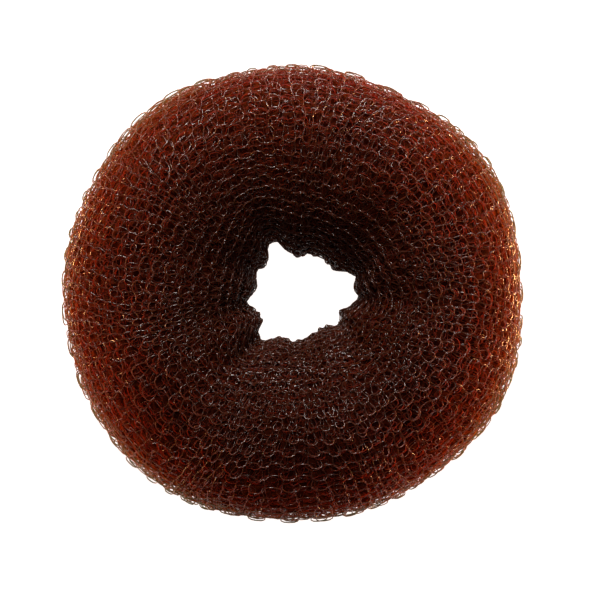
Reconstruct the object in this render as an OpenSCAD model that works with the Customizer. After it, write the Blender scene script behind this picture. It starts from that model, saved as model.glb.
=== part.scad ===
// Hair donut: one length of knitted nylon net, rolled up on itself like a sock into a soft ring.
// The ring lies flat on z = 0 with its axis along Z. The outer turn of net ends in a free edge, where it
// is loose; further in, the turns press on each other and are one springy mass.

/* [Ring] */
// Mean width of the ring across its outline
ring_d = 90; // [75:1:110]
// Mean width of the hole between the folds
hole_d = 17; // [12:1:24]
// Height of the ring as it rests
ring_h = 34; // [28:1:40]
// How far the underside is flattened where it rests
rest_sink = 0.8; // [0.4:0.1:1.2]

/* [Rolled net] */
// Thickness of one wound turn of net
net_t = 2.8; // [2:0.1:3]
// Clear gap under the outer turn where it is loose
turn_gap = 0.6; // [0.4:0.1:0.9]
// How far the outer turn is loose from its free edge on, as a share of a turn
loose_share = 0.1; // [0.05:0.05:0.8]
// Where the net's free edge lies, round the section: 180 faces the hole, 270 faces down
edge_angle = 240; // [230:1:250]
// How much of the section the net takes to step in under its free edge
step_angle = 60; // [40:5:80]

/* [Folds] */
// Depth of the deepest fold where it opens into the hole
fold_depth = 3.6; // [0:0.1:4.4]

/* [Facets] */
// Sections round the ring
sections = 72; // [36:4:96]
// Points round the section
turn_points = 40; // [24:4:56]

/* [Hidden] */
NET_COLOUR = [0.33, 0.13, 0.09];

turn_pitch = net_t + turn_gap;
// Inside the loose stretch, one point is kept of this many round the outside
loose_every = 2;
// How far the free edge bulges past its last point, as a share of the step between points
nose_share = 0.7;

// Evenly spaced sections: [share of ring_d, share of hole_d, share of ring_h]
OUTER = 0;
HOLE = 1;
CROWN = 2;
FORM = [
    [0.994, 1.12, 0.98],
    [1.012, 1.06, 1.00],
    [0.985, 0.92, 1.00],
    [0.982, 0.87, 0.98],
    [1.016, 0.89, 0.97],
    [1.006, 0.93, 0.99],
    [1.000, 0.84, 1.00],
    [1.007, 0.86, 0.99],
    [1.013, 0.98, 0.97],
    [0.988, 1.03, 0.98],
    [0.988, 0.97, 1.00],
    [1.011, 1.06, 0.99],
];
FORM_ANGLE = 360 / len(FORM);

// Folds that run from the hole up over the ring, with their angles in degrees:
// [place round the ring, share of fold_depth, half width, reach round the section, lean over the reach]
PLACE = 0;
DEPTH = 1;
HALF_WIDTH = 2;
REACH = 3;
LEAN = 4;
FOLDS = [
    [112, 0.95, 17, 115, -4],
    [189, 0.65, 14, 60, 0],
    [233, 0.95, 16, 110, -14],
    [327, 0.40, 13, 60, -4],
    [355, 0.85, 17, 90, 4],
    [17, 0.80, 15, 100, 8],
];

function smooth(x) = let (t = min(max(x, 0), 1)) t * t * (3 - 2 * t);
function bump(x) = abs(x) < 1 ? pow(cos(90 * x), 2) : 0;
// An angle between -180 and 180
function half_turn(a) = a - 360 * round(a / 360);
function curve_through(p, t) =
    p[1] + 0.5 * t * (p[2] - p[0]
        + t * (2 * p[0] - 5 * p[1] + 4 * p[2] - p[3]
            + t * (3 * (p[1] - p[2]) + p[3] - p[0])));
// A column of FORM at any place round the ring
function form(a, c) =
    let (n = len(FORM), row = floor(a / FORM_ANGLE))
    curve_through([for (i = [-1:2]) FORM[(row + i + n) % n][c]], a / FORM_ANGLE - row);

function outer_r(a) = ring_d / 2 * form(a, OUTER);
function hole_r(a) = hole_d / 2 * form(a, HOLE);
// The roll's own middle line, and the roll's half width and half height about it
function spine_r(a) = (outer_r(a) + hole_r(a)) / 2;
function half_w(a) = (outer_r(a) - hole_r(a)) / 2;
function half_h(a) = (ring_h + rest_sink) / 2 * form(a, CROWN);
spine_z = (ring_h - rest_sink) / 2;

// How deep the folds cut at place a round the ring and angle s round the section
function fold_at(a, s) =
    max([for (f = FOLDS)
        let (rise = bump(half_turn(s - 180) / f[REACH]),
             middle = f[PLACE] + f[LEAN] * (1 - rise))
        fold_depth * f[DEPTH] * rise * bump(half_turn(a - middle) / f[HALF_WIDTH])]);

// Distance from the middle line to the ring's outside, flattened where it rests
function skin_r(a, s) =
    let (round_r = 1 / norm([cos(s) / half_w(a), sin(s) / half_h(a)]))
    sin(s) < 0 ? min(round_r, spine_z / -sin(s)) : round_r;

// Depth below the ring's outside after so many turns: level, then a step in under the turn before
function wound_depth(turns) =
    let (whole = floor(turns))
    turn_pitch * (whole + smooth(1 - (1 - turns + whole) * 360 / step_angle));

// A point of the net's face, so many turns in and so far through its thickness.
// A fold draws every turn in by the same share, so it fades towards the heart of the roll.
function net_point(a, turns, through) =
    let (s = edge_angle + 360 * turns,
         skin = skin_r(a, s),
         share_left = 1 - (wound_depth(turns) + through) / skin,
         r = (skin - fold_at(a, s)) * share_left,
         out = spine_r(a) + r * cos(s))
    [out * cos(a), out * sin(a), spine_z + r * sin(s)];

outer_steps = [for (i = [0:turn_points - 1]) i / turn_points];
loose_steps = [for (i = [0:loose_every:loose_share * turn_points]) i / turn_points];
// Once round the section from the free edge, on under it along the roll below, and back along the
// inner face of the loose stretch
way_in = concat(
    [[-nose_share / turn_points, net_t / 2]],
    [for (u = outer_steps) [u, 0]],
    [for (u = loose_steps) [1 + u, 0]]);
way_back = [for (i = [len(loose_steps) - 1:-1:0]) [loose_steps[i], net_t]];
outline = concat(way_in, way_back);

module rolled_net() {
    n = len(outline);
    points = [for (i = [0:sections - 1], p = outline) net_point(360 * i / sections, p[0], p[1])];
    faces = [for (i = [0:sections - 1], j = [0:n - 1])
        let (next_i = (i + 1) % sections * n, next_j = (j + 1) % n,
             a = i * n + j, b = i * n + next_j, c = next_i + next_j, d = next_i + j)
        // Both sides of the gap are cut along the same diagonal, so that it stays even
        each j < len(way_in) ? [[a, b, d], [b, c, d]] : [[a, b, c], [a, c, d]]];
    color(NET_COLOUR) polyhedron(points, faces, convexity = 6);
}

rolled_net();
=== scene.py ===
# Hair donut: a soft ring of knitted nylon net, rolled up on itself, lying on a pale floor.
# The net is knitted stitch by stitch round the roll's own form, which is measured from the frame's solid.
# Lengths are in metres and angles in radians. Round the roll's section, 0 is the rim and a quarter turn is
# the top.
import math

import bpy
import numpy as np
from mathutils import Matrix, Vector
from mathutils.bvhtree import BVHTree


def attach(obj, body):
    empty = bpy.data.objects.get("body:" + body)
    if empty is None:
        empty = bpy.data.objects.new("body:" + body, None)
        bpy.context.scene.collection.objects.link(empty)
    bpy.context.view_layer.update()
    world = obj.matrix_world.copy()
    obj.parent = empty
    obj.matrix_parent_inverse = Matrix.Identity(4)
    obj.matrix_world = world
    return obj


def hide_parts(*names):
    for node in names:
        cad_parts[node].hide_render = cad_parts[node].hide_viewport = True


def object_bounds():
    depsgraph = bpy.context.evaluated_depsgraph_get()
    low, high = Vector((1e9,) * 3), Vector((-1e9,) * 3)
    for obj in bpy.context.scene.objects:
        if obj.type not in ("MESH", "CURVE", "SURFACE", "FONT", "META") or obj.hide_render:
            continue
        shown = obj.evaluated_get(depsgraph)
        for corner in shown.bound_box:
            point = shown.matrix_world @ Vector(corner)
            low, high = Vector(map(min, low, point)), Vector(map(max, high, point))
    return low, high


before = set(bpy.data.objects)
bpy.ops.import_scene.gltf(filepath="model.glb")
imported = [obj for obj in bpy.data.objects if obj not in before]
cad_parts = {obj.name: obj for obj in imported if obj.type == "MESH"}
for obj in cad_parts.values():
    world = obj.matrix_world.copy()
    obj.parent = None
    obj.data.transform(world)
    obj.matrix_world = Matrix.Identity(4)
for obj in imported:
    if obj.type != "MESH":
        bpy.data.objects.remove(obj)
cad_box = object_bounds()

MM = 0.001
TURN = 2 * math.pi
random = np.random.default_rng(41)

# The roll, as the frame's solid has it: where the net's free edge lies, how much of the section the net
# takes to step in under that edge, and how far in it steps
EDGE_ANGLE = math.radians(240)
STEP_ANGLE = math.radians(60)
TURN_PITCH = 3.4 * MM
HOLE_SIDE = math.radians(180)
# Between these angles the solid steps in under its free edge, so the skin is read from the mirrored angle
HIDDEN_FROM = math.radians(172)
HIDDEN_TO = math.radians(250)

# How finely the solid is measured, and over how many steps either way the readings are evened out
RING_STEPS = 240
SECTION_STEPS = 180
SPINE_REACH = RING_STEPS // 12
SKIN_REACH_ROUND = 4
SKIN_REACH_ACROSS = 3
# Keeps a division finite for rays that don't come in from the hole's side
LEAST_SLOPE = 1e-6

# Brings a sum of waves to about -1 to 1
WAVE_HEIGHT = 1.4
# Low relief of the soft net: swells all over, and puckers where the hole draws it together
SWELL_DEPTH = 0.25 * MM
PUCKER_DEPTH = 0.35 * MM
PUCKER_REACH = math.radians(75)
PUCKER_SHARPNESS = 0.8

# The knit: loops round the ring, courses round the section
WALES = 52
COURSES = 42
FILAMENT_R = 0.12 * MM

# A loop's height is in courses. How far its head spreads and its sides bulge is in wales.
LOOP_HEIGHT = 0.68
LOOP_SPREAD = 0.03
LOOP_BULGE = 0.15
# How far the loops stand off the roll, and how far their heads curl outwards
LOOP_LIFT = 0.38 * MM
LOOP_CURL = 0.36 * MM
# The wound net lies tight, so no loop stands out further than this
LIFT_LIMIT = 0.85 * MM
# How far whole stretches of net drift, in loops, and the courses by the free edge that do so less
LOOP_DRIFT = 0.45
EDGE_COURSES = 3

# How much the loops vary, as shares of their own measures
SPREAD_JITTER = 0.3
LIFT_JITTER = 0.35
CURL_JITTER = 0.9
# How uneven the loops are in height, and how far they stray, in loops: outside, and in the crowded turns
EVEN = {"uneven": 0.12, "stray": 0.09}
CROWDED = {"uneven": 0.30, "stray": 0.22}

# Where the loops are gathered towards the hole, and how much more they bulge and vary there, as shares
GATHER_REACH = math.radians(110)
GATHER_BULGE = 1.5
GATHER_STRAY = 2.5
GATHER_UNEVEN = 2
GATHER_SHRINK = 0.2
# Drawn together at the hole, the loops lie flatter by this share
HOLE_FLATNESS = 0.6

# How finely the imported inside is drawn
HEART_STEPS_ROUND = 160
HEART_STEPS_ACROSS = 96


# The form of the roll


def smooth_round(values, reach, axis=0):
    """Values on a closed ring, evened out over reach steps either way."""
    steps = np.arange(-reach, reach + 1)
    weights = np.cos(steps / (reach + 1) * math.pi / 2) ** 2
    weights /= weights.sum()
    return sum(w * np.roll(values, k, axis=axis) for k, w in zip(steps, weights))


def direction(a, s):
    """Outward from the roll's middle line, at a round the ring and s round the section."""
    return np.stack([np.cos(s) * np.cos(a), np.cos(s) * np.sin(a), np.sin(s)], axis=-1)


def solid_tree(node):
    mesh = node.data
    corners = [v.co.copy() for v in mesh.vertices]
    return BVHTree.FromPolygons(corners, [tuple(p.vertices) for p in mesh.polygons])


def hit(tree, start, towards):
    """How far a ray goes from start before it meets the solid."""
    return tree.ray_cast(Vector(start), Vector(towards))[3]


def measure_roll():
    """The middle line's radius round the ring, its height, and the skin's distance from it."""
    tree = solid_tree(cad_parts["rolled_net"])
    far = (cad_box[1] - cad_box[0]).length
    middle_z = (cad_box[0].z + cad_box[1].z) / 2
    around = np.arange(RING_STEPS) * TURN / RING_STEPS
    across = np.arange(SECTION_STEPS) * TURN / SECTION_STEPS
    spine = np.empty(RING_STEPS)
    for i, a in enumerate(around):
        out = np.array([math.cos(a), math.sin(a), 0.0])
        outer = far - hit(tree, out * far + [0, 0, middle_z], -out)
        hole = hit(tree, [0, 0, middle_z], out)
        spine[i] = (outer + hole) / 2
    spine = smooth_round(spine, SPINE_REACH)
    skin = np.empty((RING_STEPS, SECTION_STEPS))
    for i, a in enumerate(around):
        centre = np.array([spine[i] * math.cos(a), spine[i] * math.sin(a), middle_z])
        for j, s in enumerate(across):
            shown = TURN - s if HIDDEN_FROM < s < HIDDEN_TO else s
            towards = direction(a, shown)
            # A ray that comes in from the hole starts no further off than the ring's axis
            start = min(far, spine[i] / max(-math.cos(shown), LEAST_SLOPE))
            skin[i, j] = start - hit(tree, centre + towards * start, -towards)
    skin = smooth_round(smooth_round(skin, SKIN_REACH_ROUND, axis=0), SKIN_REACH_ACROSS, axis=1)
    return spine, middle_z, skin


SPINE, MIDDLE_Z, SKIN = measure_roll()
MEAN_SKIN = SKIN.mean()


def sample_spine(a):
    """The middle line's radius, read at any a."""
    x = np.asarray(a) / TURN * RING_STEPS
    low = np.floor(x).astype(int)
    part = x - low
    return SPINE[low % RING_STEPS] * (1 - part) + SPINE[(low + 1) % RING_STEPS] * part


def sample_skin(a, s):
    """The skin's distance from the middle line, read at any a and s."""
    x, y = np.asarray(a) / TURN * RING_STEPS, np.asarray(s) / TURN * SECTION_STEPS
    i, j = np.floor(x).astype(int), np.floor(y).astype(int)
    u, v = x - i, y - j
    i0, i1 = i % RING_STEPS, (i + 1) % RING_STEPS
    j0, j1 = j % SECTION_STEPS, (j + 1) % SECTION_STEPS
    low = SKIN[i0, j0] * (1 - v) + SKIN[i0, j1] * v
    high = SKIN[i1, j0] * (1 - v) + SKIN[i1, j1] * v
    return low * (1 - u) + high * u


def ease(x):
    x = np.clip(x, 0, 1)
    return x * x * (3 - 2 * x)


def wound_depth(turns):
    """Depth below the skin after so many turns: level, then a step in under the turn before."""
    whole = np.floor(turns)
    return TURN_PITCH * (whole + ease(1 - (1 - turns + whole) * TURN / STEP_ANGLE))


def waves(count, most_round, most_across):
    """A smooth field over the ring, about -1 to 1, that closes on itself both ways.

    It is a sum of waves, with up to so many of them round the ring and across its section.
    """
    parts = [
        (
            random.integers(-most_round, most_round + 1),
            random.integers(0, most_across + 1),
            random.uniform(0, TURN),
        )
        for _ in range(count)
    ]
    share = WAVE_HEIGHT / math.sqrt(count)
    return lambda a, s: share * sum(np.sin(m * a + n * s + p) for m, n, p in parts)


fine_puckers = waves(count=14, most_round=34, most_across=1)
broad_puckers = waves(count=10, most_round=18, most_across=2)
swells = waves(count=12, most_round=9, most_across=4)


def near_hole(s, reach):
    """1 where the section faces the hole, falling to 0 at reach to either side."""
    away = np.abs((s - HOLE_SIDE + math.pi) % TURN - math.pi)
    return ease(1 - away / reach)


def on_roll(a, s, depth):
    """Points at depth below the skin of the roll, with the net's small swells and puckers."""
    pucker = np.tanh(PUCKER_SHARPNESS * (fine_puckers(a, s) + broad_puckers(a, s)))
    relief = SWELL_DEPTH * swells(a, s) + PUCKER_DEPTH * near_hole(s, PUCKER_REACH) * pucker
    skin = sample_skin(a, s) + relief
    r = skin - depth * skin / MEAN_SKIN
    out = sample_spine(a) + r * np.cos(s)
    return np.stack([out * np.cos(a), out * np.sin(a), MIDDLE_Z + r * np.sin(s)], axis=-1)


# The knit: each course is one filament that runs round the ring in loops


def stitches(ply_depth, points, uneven, stray):
    """The filaments' centre lines, one closed line for each course, and the way out at each point."""
    drift_round = waves(count=10, most_round=8, most_across=3)
    drift_across = waves(count=10, most_round=8, most_across=3)
    i = np.arange(WALES)[None, :, None]
    j = np.arange(COURSES)[:, None, None]
    t = (np.arange(points) / points * TURN)[None, None, :]

    def jitter(size):
        """One value a stitch, blended into the next stitch so that the filament stays smooth."""
        now = random.uniform(-size, size, (COURSES, WALES, 1))
        part = ease(t / TURN)
        return now * (1 - part) + np.roll(now, -1, axis=1) * part

    # Gathered at the hole, the loops keep their width and lie over each other
    gathered = near_hole(EDGE_ANGLE + TURN * (j + 0.5) / COURSES, GATHER_REACH)
    bulge = LOOP_BULGE * (1 + GATHER_BULGE * gathered)
    height = LOOP_HEIGHT * (1 - GATHER_SHRINK * gathered)
    height = height * (1 + jitter(uneven * (1 + GATHER_UNEVEN * gathered)))
    spread = LOOP_SPREAD * (1 + jitter(SPREAD_JITTER))
    wale = i + t / TURN - spread * np.sin(t) + bulge * np.sin(2 * t)
    wale = wale + jitter(stray * (1 + GATHER_STRAY * gathered))
    course = j + 0.5 - height * np.cos(t) + jitter(stray)
    lift = LOOP_LIFT * (np.cos(2 * t) + jitter(LIFT_JITTER))
    lift = lift + LOOP_CURL * (1 + jitter(CURL_JITTER)) * np.cos(t)
    lift = LIFT_LIMIT * np.tanh(lift / LIFT_LIMIT)

    turns = course / COURSES
    a = TURN * wale / WALES
    s = EDGE_ANGLE + TURN * turns
    a = a + LOOP_DRIFT * TURN / WALES * drift_round(a, s)
    s = s + LOOP_DRIFT * TURN / COURSES * drift_across(a, s) * ease(course / EDGE_COURSES)
    lift = lift * (1 - HOLE_FLATNESS * near_hole(s, PUCKER_REACH))
    lines = on_roll(a, s, wound_depth(turns) + ply_depth - lift)
    # Loops that the ring rests on are pressed flat
    lines[..., 2] = np.maximum(lines[..., 2], FILAMENT_R)
    shape = (COURSES, WALES * points, 3)
    return lines.reshape(shape), direction(a, s).reshape(shape)


def closed_faces(number):
    """Four-sided faces on a grid of point numbers that closes on itself along its last two axes."""
    ahead = np.roll(number, -1, axis=-2)
    corners = [number, np.roll(number, -1, axis=-1), np.roll(ahead, -1, axis=-1), ahead]
    return np.stack(corners, axis=-1).reshape(-1, 4)


def tubes(lines, normals, sides):
    """Filaments round closed lines, as points and faces."""
    along = np.roll(lines, -1, axis=1) - np.roll(lines, 1, axis=1)
    along /= np.linalg.norm(along, axis=-1, keepdims=True)
    side = np.cross(along, normals)
    side /= np.linalg.norm(side, axis=-1, keepdims=True)
    up = np.cross(side, along)
    angles = (np.arange(sides) / sides * TURN)[None, None, :, None]
    ring = FILAMENT_R * (np.cos(angles) * up[:, :, None, :] + np.sin(angles) * side[:, :, None, :])
    points = lines[:, :, None, :] + ring
    number = np.arange(points.size // 3).reshape(points.shape[:3])
    return points.reshape(-1, 3), closed_faces(number)


def add_mesh(name, points, faces, material):
    mesh = bpy.data.meshes.new(name)
    mesh.vertices.add(len(points))
    mesh.vertices.foreach_set("co", points.ravel())
    mesh.loops.add(faces.size)
    mesh.loops.foreach_set("vertex_index", faces.ravel())
    mesh.polygons.add(len(faces))
    mesh.polygons.foreach_set("loop_start", np.arange(len(faces)) * faces.shape[1])
    mesh.polygons.foreach_set("use_smooth", np.ones(len(faces), bool))
    mesh.update(calc_edges=True)
    mesh.validate()
    mesh.materials.append(material)
    piece = bpy.data.objects.new(name, mesh)
    bpy.context.scene.collection.objects.link(piece)
    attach(piece, "root")
    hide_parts("rolled_net")
    return piece


def knit_ply(name, depth, points, sides, bands, material, evenness):
    """One ply of the net, cut into bands of courses so that no piece is too large."""
    lines, normals = stitches(depth, points, **evenness)
    for k, band in enumerate(np.array_split(np.arange(COURSES), bands)):
        mesh_points, faces = tubes(lines[band], normals[band], sides)
        add_mesh(f"{name}_{k + 1}", mesh_points, faces, material)


def heart(name, depth, material):
    """The tightly wound inside of the roll, which the open plies let show, painted as a dark mass of shade
    with painted light at its rim.
    """
    a = (np.arange(HEART_STEPS_ROUND) / HEART_STEPS_ROUND * TURN)[:, None]
    s = (np.arange(HEART_STEPS_ACROSS) / HEART_STEPS_ACROSS * TURN)[None, :]
    a, s = np.broadcast_arrays(a, s)
    number = np.arange(a.size).reshape(a.shape)
    piece = add_mesh(name, on_roll(a, s, depth).reshape(-1, 3), closed_faces(number.T), material)


# Materials

NOISE_DETAIL = 2


def new_material(name):
    material = bpy.data.materials.new(name)
    material.use_nodes = True
    nodes, links = material.node_tree.nodes, material.node_tree.links
    return material, nodes, links, nodes["Principled BSDF"]


def object_noise(nodes, links, scale):
    place = nodes.new("ShaderNodeTexCoord")
    noise = nodes.new("ShaderNodeTexNoise")
    noise.inputs["Scale"].default_value = scale
    noise.inputs["Detail"].default_value = NOISE_DETAIL
    links.new(place.outputs["Object"], noise.inputs["Vector"])
    return noise.outputs["Fac"]


def ramp(nodes, links, value, low, high):
    """A colour that follows a value between two stops, each given as its place and its colour."""
    node = nodes.new("ShaderNodeValToRGB")
    for element, (place, colour) in zip(node.color_ramp.elements, (low, high)):
        element.position = place
        element.color = (*colour, 1)
    links.new(value, node.inputs["Fac"])
    return node.outputs["Color"]


def beyond(nodes, links, centre, near, far):
    """0 up to the distance near from a centre, rising to 1 at far."""
    place = nodes.new("ShaderNodeTexCoord")
    away = nodes.new("ShaderNodeVectorMath")
    away.operation = "DISTANCE"
    away.inputs[1].default_value = centre
    links.new(place.outputs["Object"], away.inputs[0])
    rise = nodes.new("ShaderNodeMapRange")
    rise.inputs["From Min"].default_value = near
    rise.inputs["From Max"].default_value = far
    links.new(away.outputs["Value"], rise.inputs["Value"])
    return rise.outputs["Result"]


RING_MIDDLE = (0, 0, MIDDLE_Z)
# Painted light: the net's loops furthest out pass on a paler colour, a painted glow for light that comes
# through them from all sides
PAINTED_GLOW_NEAR, PAINTED_GLOW_FAR = 42.5 * MM, 45.5 * MM
NYLON_IOR = 1.53


def nylon(name, dark, pale, glow, painted_rim_glow, through, gloss, roughness):
    """Dyed nylon filament: a share of the light passes through it, painted paler in the loops furthest
    out, and its surface has a faint gloss.
    """
    material, nodes, links, shader = new_material(name)
    strand = object_noise(nodes, links, scale=900)
    links.new(ramp(nodes, links, strand, (0.35, dark), (0.65, pale)), shader.inputs["Base Color"])
    shader.inputs["Roughness"].default_value = roughness
    shader.inputs["IOR"].default_value = NYLON_IOR
    shader.inputs["Specular IOR Level"].default_value = gloss
    lit_through = nodes.new("ShaderNodeBsdfTranslucent")
    # Painted light: from near to far, the colour passed through turns to the paler painted rim glow
    painted_glow_share = beyond(nodes, links, RING_MIDDLE, PAINTED_GLOW_NEAR, PAINTED_GLOW_FAR)
    links.new(ramp(nodes, links, painted_glow_share, (0, glow), (1, painted_rim_glow)), lit_through.inputs["Color"])
    mix = nodes.new("ShaderNodeMixShader")
    mix.inputs["Fac"].default_value = through
    links.new(shader.outputs["BSDF"], mix.inputs[1])
    links.new(lit_through.outputs["BSDF"], mix.inputs[2])
    links.new(mix.outputs["Shader"], nodes["Material Output"].inputs["Surface"])
    return material


# Strands of the crowded net and the cells between them, with painted shade that darkens the cells and the
# ring's middle, and painted light that warms the rim
CELLS_PER_METRE = 420
STRAND_EDGE, CELL_EDGE = 0.04, 0.14
PAINTED_SHADE_STRAND, PAINTED_SHADE_CELL = (0.042, 0.006, 0.002), (0.015, 0.0015, 0.0005)
PAINTED_LIGHT_STRAND, PAINTED_LIGHT_CELL = (0.085, 0.015, 0.003), (0.038, 0.006, 0.001)
PAINTED_LIGHT_NEAR, PAINTED_LIGHT_FAR = 36 * MM, 43 * MM


def heart_net_painted_shade_and_light(name):
    """Crowded net, painted dark with shade in the ring's middle and between its strands, and painted
    warmer with light at its rim.
    """
    material, nodes, links, shader = new_material(name)
    cells = nodes.new("ShaderNodeTexVoronoi")
    cells.feature = "DISTANCE_TO_EDGE"
    cells.inputs["Scale"].default_value = CELLS_PER_METRE
    place = nodes.new("ShaderNodeTexCoord")
    links.new(place.outputs["Object"], cells.inputs["Vector"])
    edge = cells.outputs["Distance"]
    mix = nodes.new("ShaderNodeMix")
    mix.data_type = "RGBA"
    # Painted shade in the ring's middle gives way to painted light at its rim
    painted_light_share = beyond(nodes, links, RING_MIDDLE, PAINTED_LIGHT_NEAR, PAINTED_LIGHT_FAR)
    links.new(painted_light_share, mix.inputs["Factor"])
    for side, strand, cell in (("A", PAINTED_SHADE_STRAND, PAINTED_SHADE_CELL), ("B", PAINTED_LIGHT_STRAND, PAINTED_LIGHT_CELL)):
        # Painted shade: the cells between the strands are darker than the strands
        colour = ramp(nodes, links, edge, (STRAND_EDGE, strand), (CELL_EDGE, cell))
        links.new(colour, mix.inputs[side])
    links.new(mix.outputs["Result"], shader.inputs["Base Color"])
    shader.inputs["Roughness"].default_value = 0.8
    shader.inputs["Specular IOR Level"].default_value = 0.0
    return material


# The stage

FLOOR_SIZE = 6
# The floor lies a little under the ring, so that the two don't share a surface
FLOOR_Z = -0.2 * MM
PAPER_DARK, PAPER_PALE = (0.30, 0.30, 0.30), (0.34, 0.34, 0.34)
GLOW_STRENGTH = 4.2
PLAIN_GLOW = (0.27, 0.25, 0.24)
WARM_GLOW = (1.0, 0.28, 0.225)
# The glow is plain right under the ring and warm further out
PLAIN_NEAR, PLAIN_FAR = 48 * MM, 54 * MM
# A weaker patch on the -Y side
PATCH_CENTRE = (0, -125 * MM, 0)
PATCH_NEAR, PATCH_FAR = 74 * MM, 86 * MM


def floor():
    """Pale paper, lit through from below so that it shows pure white, as the photo's ground does.

    Its glow is warm, but for a weaker patch on the -Y side, where the ring's rim is dark in the photo,
    and plain white right under the ring, where the rim's loops are seen against it.
    """
    bpy.ops.mesh.primitive_plane_add(size=FLOOR_SIZE, location=(0, 0, FLOOR_Z))
    plane = bpy.context.object
    plane.name = "floor"
    material, nodes, links, shader = new_material("floor_paper")
    pulp = object_noise(nodes, links, scale=3)
    links.new(ramp(nodes, links, pulp, (0.3, PAPER_DARK), (0.7, PAPER_PALE)), shader.inputs["Base Color"])
    warmth = nodes.new("ShaderNodeMath")
    warmth.operation = "MULTIPLY"
    links.new(beyond(nodes, links, (0, 0, 0), PLAIN_NEAR, PLAIN_FAR), warmth.inputs[0])
    links.new(beyond(nodes, links, PATCH_CENTRE, PATCH_NEAR, PATCH_FAR), warmth.inputs[1])
    glow = ramp(nodes, links, warmth.outputs["Value"], (0, PLAIN_GLOW), (1, WARM_GLOW))
    links.new(glow, shader.inputs["Emission Color"])
    shader.inputs["Emission Strength"].default_value = GLOW_STRENGTH
    shader.inputs["Roughness"].default_value = 0.9
    plane.data.materials.append(material)


WHITE = (1, 1, 1)
AMBER = (1, 0.50, 0.17)
# Name, place, width, height, power in watts, colour. The low ones at the sides warm the rim.
LIGHTS = [
    ("overhead", (0, 0.25, 1.3), 0.25, 0.25, 5, WHITE),
    ("key", (-0.10, 0.80, 0.50), 0.25, 0.25, 11.5, WHITE),
    ("left", (-0.60, 0.05, 0.015), 0.2, 0.03, 5, AMBER),
    ("right", (0.60, 0.05, 0.015), 0.2, 0.03, 8, AMBER),
]


def soft_light(name, place, width, height, power, colour):
    """A panel of light that faces the ring."""
    data = bpy.data.lights.new(name, "AREA")
    data.shape = "RECTANGLE"
    data.size = width
    data.size_y = height
    data.energy = power
    data.color = colour
    light = bpy.data.objects.new(name, data)
    light.location = place
    light.rotation_mode = "QUATERNION"
    light.rotation_quaternion = (Vector(RING_MIDDLE) - Vector(place)).to_track_quat("-Z", "Y")
    bpy.context.scene.collection.objects.link(light)


def studio():
    """A nearly dark room, so that the lights and the floor do the work."""
    scene = bpy.context.scene
    scene.view_settings.view_transform = "Standard"
    world = bpy.data.worlds.new("studio")
    world.use_nodes = True
    background = world.node_tree.nodes["Background"]
    background.inputs["Color"].default_value = (*WHITE, 1)
    background.inputs["Strength"].default_value = 0.04
    scene.world = world


# The photo's side and the ring's centre in it are in pixels
PHOTO_SIDE = 591
METRES_PER_PIXEL = 0.1948 * MM
RING_CENTRE_PIXEL = (294.0, 293.5)
CAMERA_DISTANCE = 0.9
# In millimetres, as the lens is
SENSOR_WIDTH = 36
CLIP_NEAR, CLIP_FAR = 0.01, 20


def camera():
    """Straight above the ring, framed as the photo is."""
    data = bpy.data.cameras.new("camera")
    eye = bpy.data.objects.new("camera", data)
    bpy.context.scene.collection.objects.link(eye)
    half = PHOTO_SIDE / 2
    x = (half - RING_CENTRE_PIXEL[0]) * METRES_PER_PIXEL
    y = (RING_CENTRE_PIXEL[1] - half) * METRES_PER_PIXEL
    eye.location = (x, y, MIDDLE_Z + CAMERA_DISTANCE)
    data.sensor_width = SENSOR_WIDTH
    data.lens = SENSOR_WIDTH * CAMERA_DISTANCE / (PHOTO_SIDE * METRES_PER_PIXEL)
    data.clip_start, data.clip_end = CLIP_NEAR, CLIP_FAR
    bpy.context.scene.camera = eye


outer_nylon = nylon(
    "nylon_outer",
    dark=(0.028, 0.007, 0.005),
    pale=(0.072, 0.020, 0.013),
    glow=(0.67, 0.32, 0.075),
    painted_rim_glow=(0.74, 0.95, 0.58),
    through=0.32,
    gloss=0.70,
    roughness=0.20,
)
# The deeper plies are copies of the same nylon with painted shade: darker, as the plies above shade them
second_nylon_painted_shade = nylon(
    "nylon_second_painted_shade",
    dark=(0.020, 0.005, 0.003),
    pale=(0.055, 0.016, 0.009),
    glow=(0.94, 0.29, 0.03),
    painted_rim_glow=(1.0, 0.88, 0.42),
    through=0.29,
    gloss=0.6,
    roughness=0.20,
)
inner_nylon_painted_shade = nylon(
    "nylon_inner_painted_shade",
    dark=(0.014, 0.003, 0.0015),
    pale=(0.035, 0.006, 0.003),
    glow=(0.95, 0.24, 0.03),
    painted_rim_glow=(1.0, 0.64, 0.20),
    through=0.40,
    gloss=0.15,
    roughness=0.45,
)

# Each ply's name, depth under the skin, points to a loop, sides of its filament, bands, material, evenness
PLIES = [
    ("net_outer_ply", 0.25 * MM, 16, 4, 2, outer_nylon, EVEN),
    ("net_second_ply", 0.50 * MM, 14, 3, 1, second_nylon_painted_shade, CROWDED),
    ("net_third_ply", 0.80 * MM, 14, 3, 1, inner_nylon_painted_shade, CROWDED),
    ("net_fourth_ply", 1.10 * MM, 12, 3, 1, inner_nylon_painted_shade, CROWDED),
]
HEART_DEPTH = 1.30 * MM

for ply in PLIES:
    knit_ply(*ply)
heart("net_heart", HEART_DEPTH, heart_net_painted_shade_and_light("net_heart"))

floor()
studio()
for light in LIGHTS:
    soft_light(*light)
camera()
